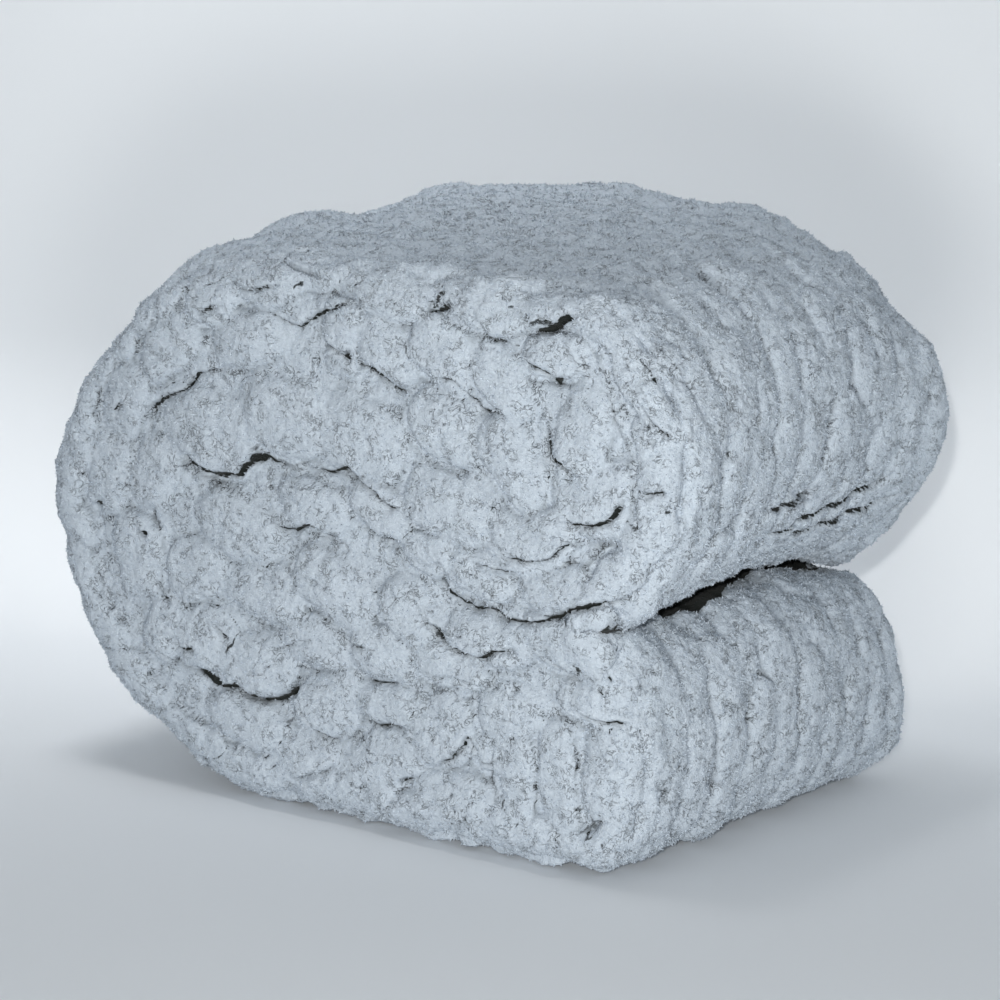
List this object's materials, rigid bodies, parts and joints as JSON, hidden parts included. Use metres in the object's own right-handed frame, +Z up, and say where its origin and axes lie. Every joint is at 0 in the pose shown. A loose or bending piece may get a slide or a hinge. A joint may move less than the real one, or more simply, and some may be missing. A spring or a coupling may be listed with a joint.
{
  "type": "chunky knit blanket",
  "caption": "Folded blanket of thick soft chenille knit: a doubled strip, turned in at both ends and folded in half, that rests on a shelf or seat.",
  "frame": {"origin": "middle of the box of the folded bundle, at its flat underside", "axes": "+X along the bundle from the big bend to the two noses, +Y from the face with the long crease to the back, +Z up"},
  "size_m": [0.3944, 0.228, 0.2936],
  "materials": {
    "chenille": "matt velvety pile, pale blue-grey"
  },
  "bodies": {
    "root": {"blanket": "chenille"}
  },
  "joints": []
}
